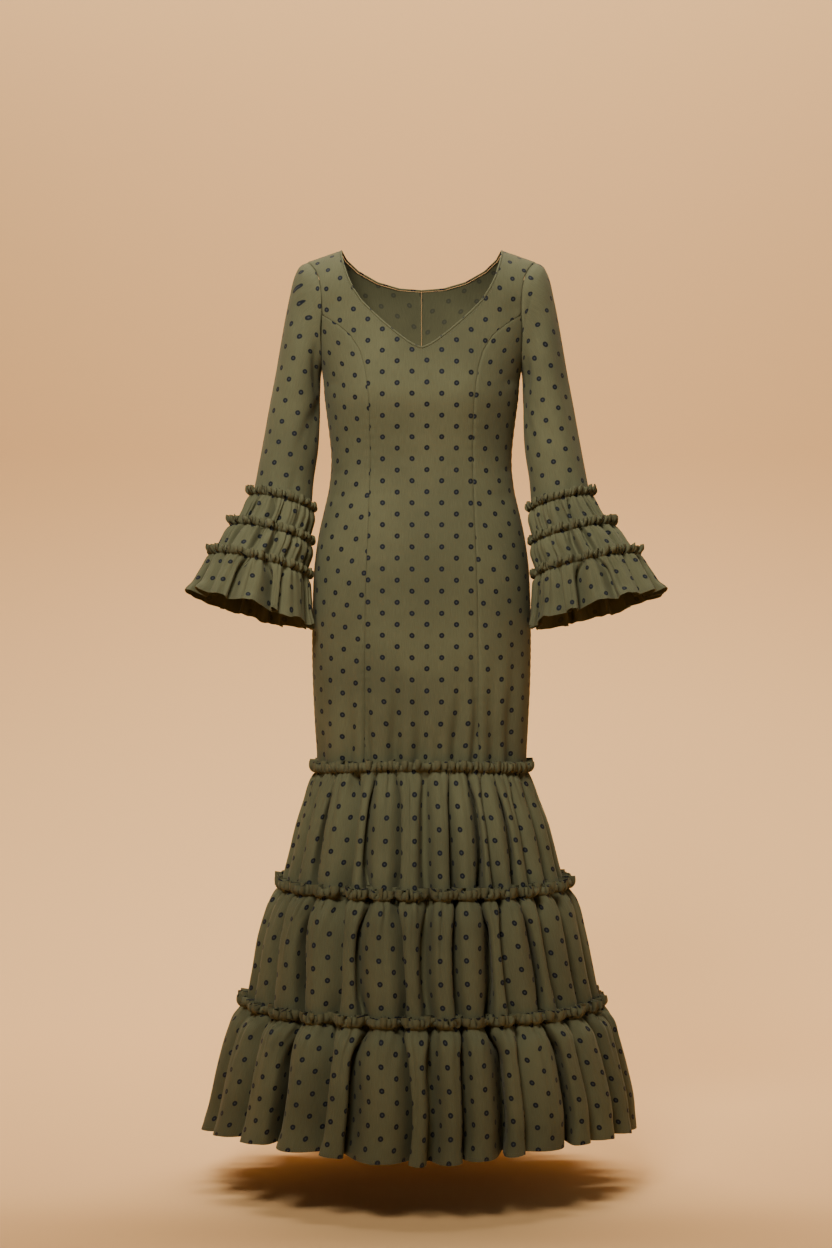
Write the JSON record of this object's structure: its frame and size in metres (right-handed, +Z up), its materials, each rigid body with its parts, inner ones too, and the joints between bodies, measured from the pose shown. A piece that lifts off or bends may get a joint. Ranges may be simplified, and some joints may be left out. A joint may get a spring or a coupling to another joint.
{
  "type": "polka dot dress",
  "caption": "Long dress in olive cloth with dark dots: V neck, fitted princess-line body, long sleeves with frilled bell cuffs and a gathered tiered skirt.",
  "frame": {"origin": "midway between the two neck ends of the shoulder seams, at their height, where the wearer's shoulders hold the dress up", "axes": "+Z up, the front faces -Y, +X towards the wearer's left"},
  "size_m": [0.7431, 0.6101, 1.3755],
  "materials": {
    "front_centre": "matte olive crepe with dark dots",
    "front_side_left": "matte olive crepe with dark dots",
    "front_side_right": "matte olive crepe with dark dots",
    "back_left": "matte olive crepe with dark dots",
    "back_right": "matte olive crepe with dark dots",
    "neck_binding": "matte olive crepe with dark dots",
    "sleeve_left": "matte olive crepe with dark dots",
    "sleeve_right": "matte olive crepe with dark dots",
    "cuff_tier_1_left": "matte olive crepe with dark dots",
    "cuff_tier_2_left": "matte olive crepe with dark dots",
    "cuff_tier_3_left": "matte olive crepe with dark dots",
    "cuff_tier_1_right": "matte olive crepe with dark dots",
    "cuff_tier_2_right": "matte olive crepe with dark dots",
    "cuff_tier_3_right": "matte olive crepe with dark dots",
    "skirt_tier_1": "matte olive crepe with dark dots",
    "skirt_tier_2": "matte olive crepe with dark dots",
    "skirt_tier_3": "matte olive crepe with dark dots"
  },
  "bodies": {
    "root": {"front_centre": "front_centre", "front_side_left": "front_side_left", "front_side_right": "front_side_right", "back_left": "back_left", "back_right": "back_right", "neck_binding": "neck_binding", "sleeve_left": "sleeve_left", "sleeve_right": "sleeve_right", "cuff_tier_1_left": "cuff_tier_1_left", "cuff_tier_2_left": "cuff_tier_2_left", "cuff_tier_3_left": "cuff_tier_3_left", "cuff_tier_1_right": "cuff_tier_1_right", "cuff_tier_2_right": "cuff_tier_2_right", "cuff_tier_3_right": "cuff_tier_3_right", "skirt_tier_1": "skirt_tier_1", "skirt_tier_2": "skirt_tier_2", "skirt_tier_3": "skirt_tier_3"}
  },
  "joints": []
}
